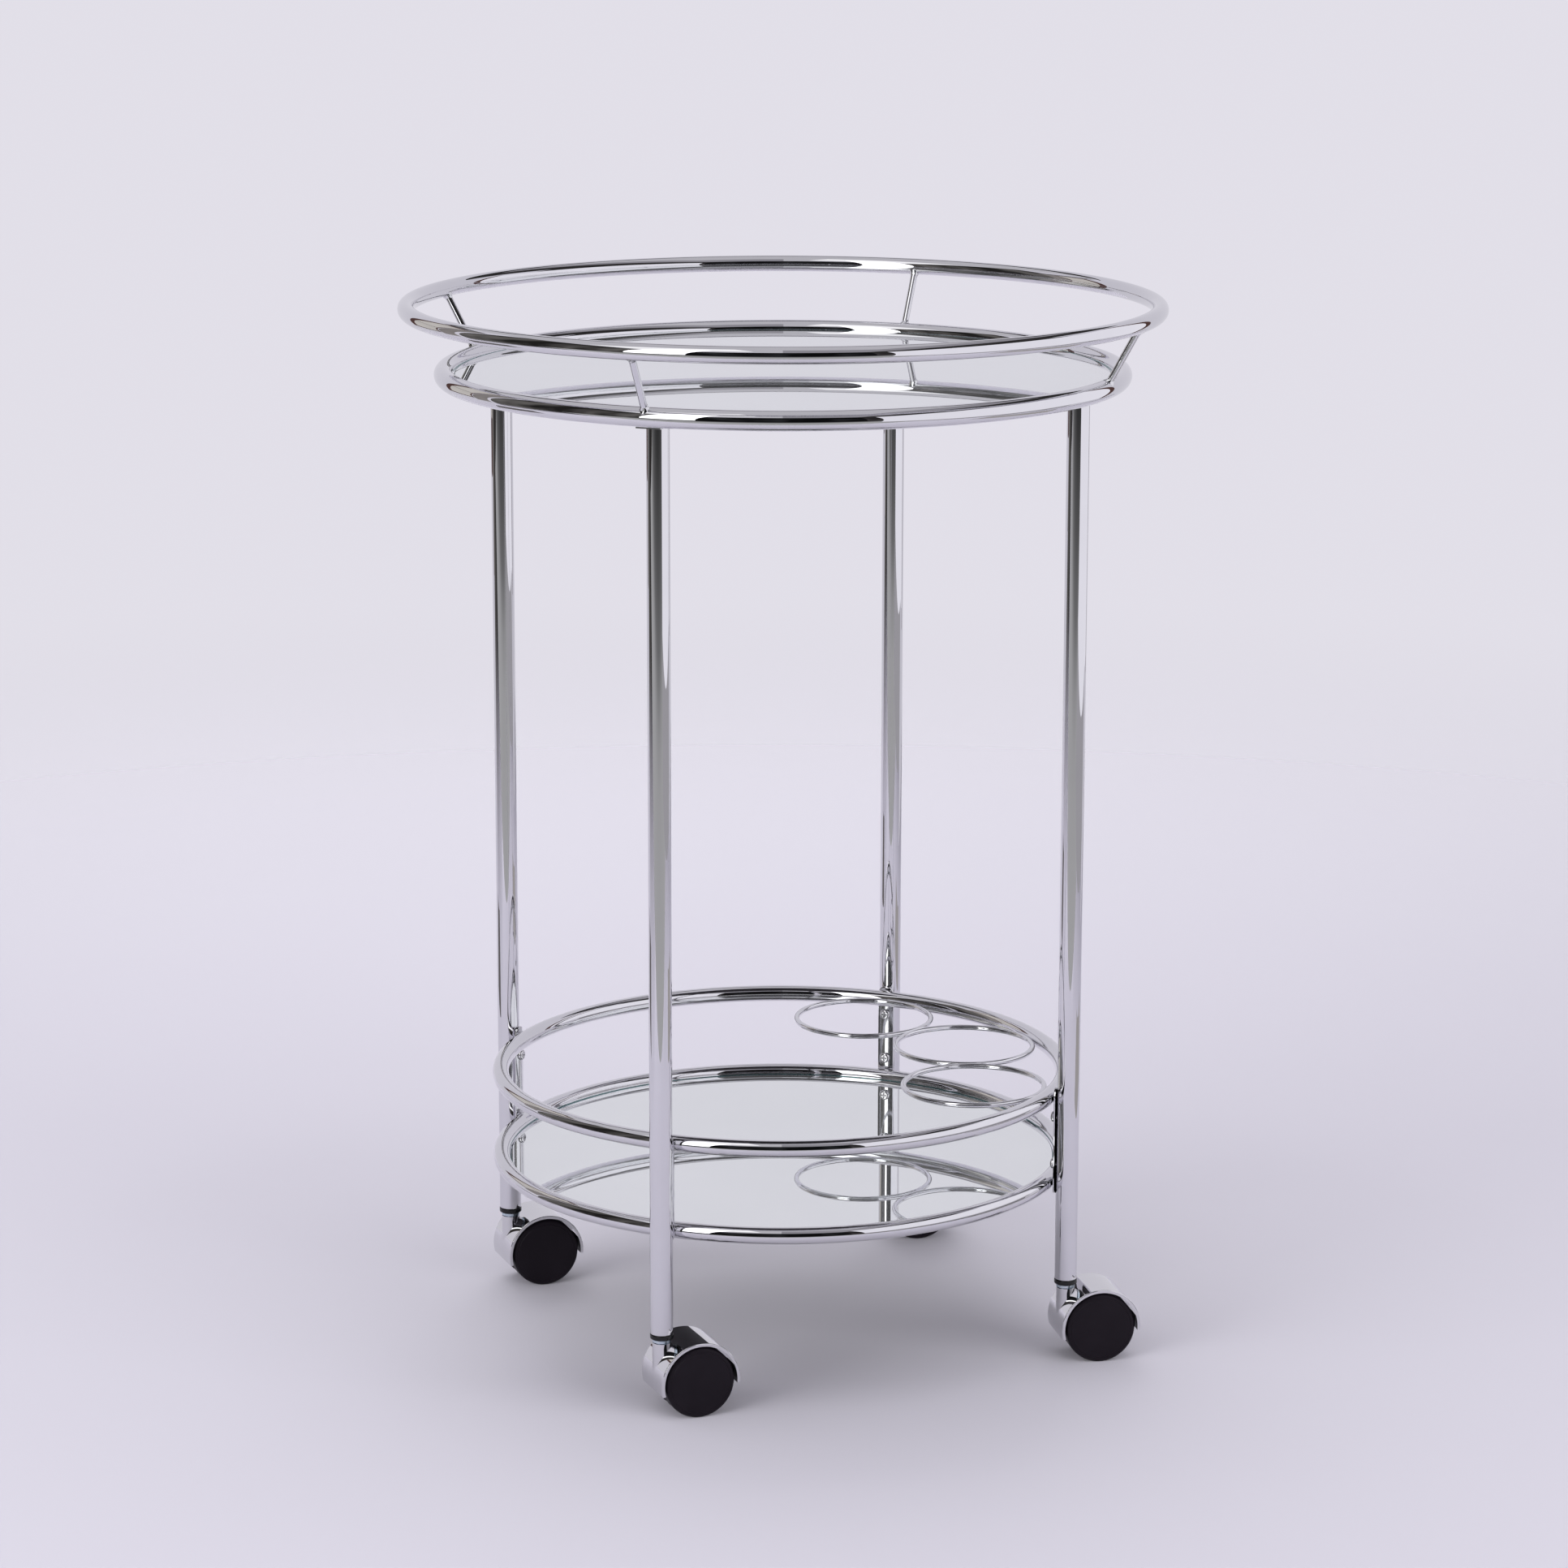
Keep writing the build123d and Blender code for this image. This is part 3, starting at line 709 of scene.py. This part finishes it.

# The studio floor on the camera's side as chrome sees it, in painted light and shade: a lit mid grey near
# the cart, falling into painted shade with distance. Beside the cart lie two narrower strips.
OUTER_FLOOR_NEAR = 1.1
OUTER_FLOOR_LIFT = 0.004
STRIP_LIFT = 0.005
# Painted shade: the floor card's grey falls with distance from the cart, standing in for the light dying
# away.
FLOOR_PAINTED_FALLOFF = (
    (OUTER_FLOOR_NEAR, 0.47),
    (2.1, 0.43),
    (2.45, 0.36),
    (2.7, 0.27),
    (2.95, 0.19),
    (3.5, 0.12),
    (4.6, 0.05),
    (ROOM_FRONT, 0.03),
)

outer_floor_painted_shade = fading_glow("outer_floor_painted_shade", FLOOR_PAINTED_FALLOFF, ROOM_FRONT)
floor_dark = glow("floor_dark", (0.15, 0.14, 0.14))
floor_grey = glow("floor_grey", (0.42, 0.40, 0.39))
level_card("outer_floor_painted_shade", OUTER_FLOOR_NEAR, ROOM_FRONT, ROOM_LEFT, ROOM_RIGHT, OUTER_FLOOR_LIFT, outer_floor_painted_shade)
level_card("floor_strip_left", -0.5, 0.0, -1.35, -0.95, STRIP_LIFT, floor_dark)
level_card("floor_strip_right", -0.35, 0.35, 0.80, 1.12, STRIP_LIFT, floor_grey)

# The bright faces of a strip softbox and an overhead softbox, as chrome sees them.
strip = glow("strip_light", (1.0, 0.995, 1.0), 2.3)
overhead = glow("overhead_light", (1.0, 0.995, 1.0), 1.25)
upright_card("strip_softbox", (2.02, -2.00), (2.55, -1.285), 0.52, 4.6, strip)
level_card("overhead_softbox", 0.8, 3.2, -3.4, -0.6, 4.7, overhead)


# ------------------------------------------------------------ studio: lamps


def softbox(name, spot, aim_height, size, power):
    """A soft lamp at a (toward, rightward, height) place, aimed at the cart's axis and not seen itself."""
    data = bpy.data.lights.new(name, "AREA")
    data.shape = "RECTANGLE"
    data.size, data.size_y = size
    data.energy = power
    lamp = bpy.data.objects.new(name, data)
    bpy.context.scene.collection.objects.link(lamp)
    lamp.location = studio_spot(*spot)
    aim = UP * aim_height - lamp.location
    lamp.rotation_euler = aim.to_track_quat("-Z", "Y").to_euler()
    lamp.visible_glossy = False
    lamp.visible_camera = False


softbox("left_light", spot=(2.0, -1.6, 1.9), aim_height=0.3, size=(1.0, 2.4), power=12)
softbox("low_left_light", spot=(2.2, -2.9, 0.9), aim_height=0.05, size=(2.6, 1.2), power=100)
softbox("low_right_light", spot=(2.2, 2.8, 0.9), aim_height=0.05, size=(2.6, 1.2), power=100)
softbox("back_light", spot=(-2.2, -0.3, 1.6), aim_height=0.0, size=(2.4, 1.6), power=26)
softbox("overhead_light", spot=(-0.4, -0.4, 3.4), aim_height=0.0, size=(2.8, 2.8), power=15)
bpy.context.scene.view_settings.view_transform = "Standard"

low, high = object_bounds()
